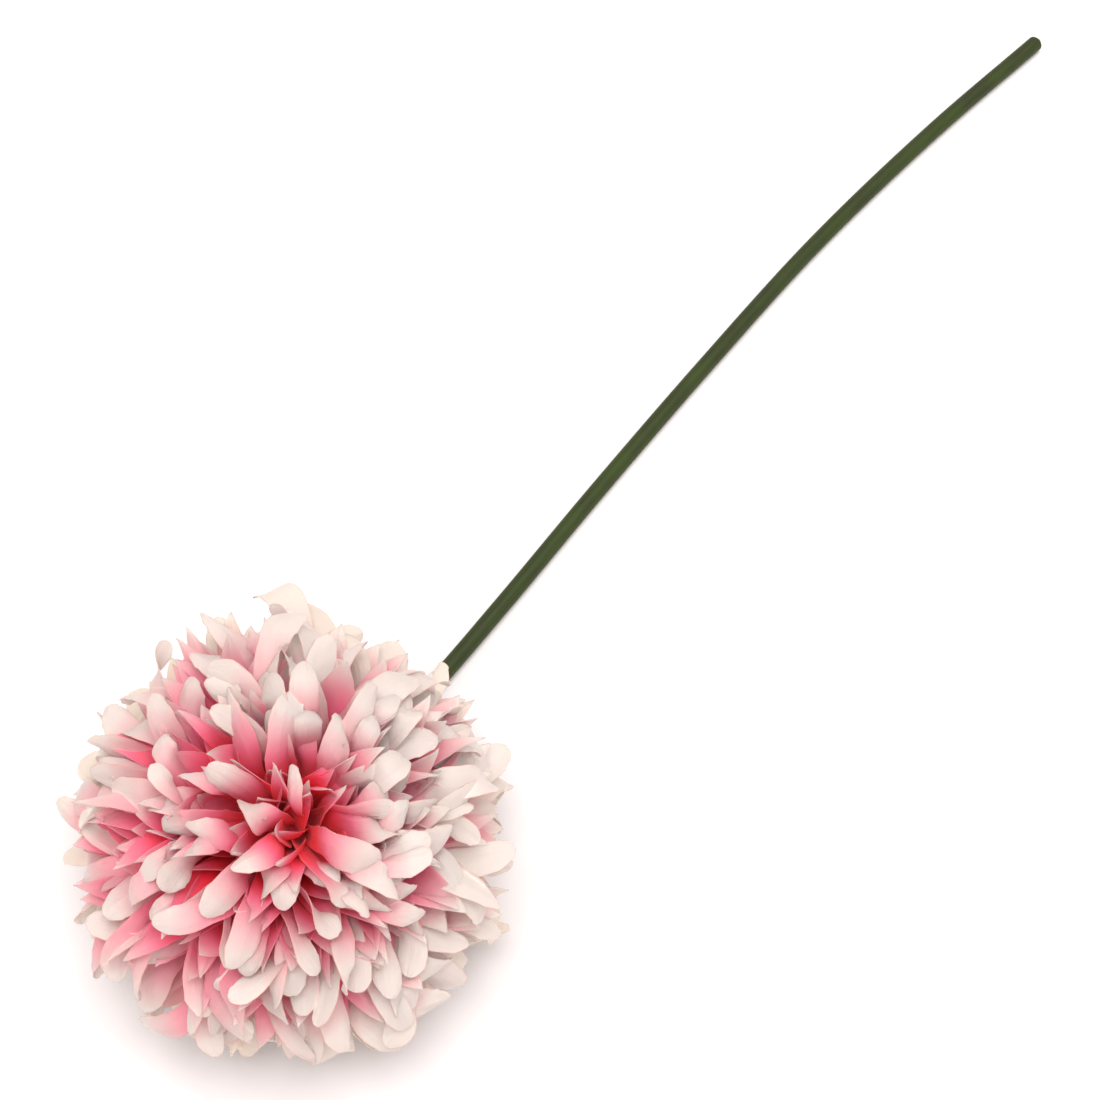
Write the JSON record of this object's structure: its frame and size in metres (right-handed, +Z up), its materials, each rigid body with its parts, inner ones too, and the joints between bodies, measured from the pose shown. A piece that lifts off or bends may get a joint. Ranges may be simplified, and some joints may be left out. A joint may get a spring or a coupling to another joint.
{
  "type": "chrysanthemum flower",
  "caption": "Single pompon chrysanthemum of pink and white fabric petals on a long bent wire stem, lying on its back petals with its face up.",
  "frame": {"origin": "on the surface it lies on, under the middle of its bounding box", "axes": "+Z up from the surface, +X along the stem from the bloom to the cut end, +Y to the side"},
  "size_m": [0.5536, 0.1528, 0.1282],
  "materials": {
    "petal_fabric": "soft matte woven silk, crimson at the roots, pink along the blades, cream at the tips",
    "calyx_plastic": "moulded matte green",
    "stem_plastic": "satin dark green sleeve",
    "wire_steel": "bare cut end"
  },
  "bodies": {
    "root": {"bloom": "petal_fabric", "calyx": "calyx_plastic", "stem": "stem_plastic", "stem_wire": "wire_steel"}
  },
  "joints": []
}
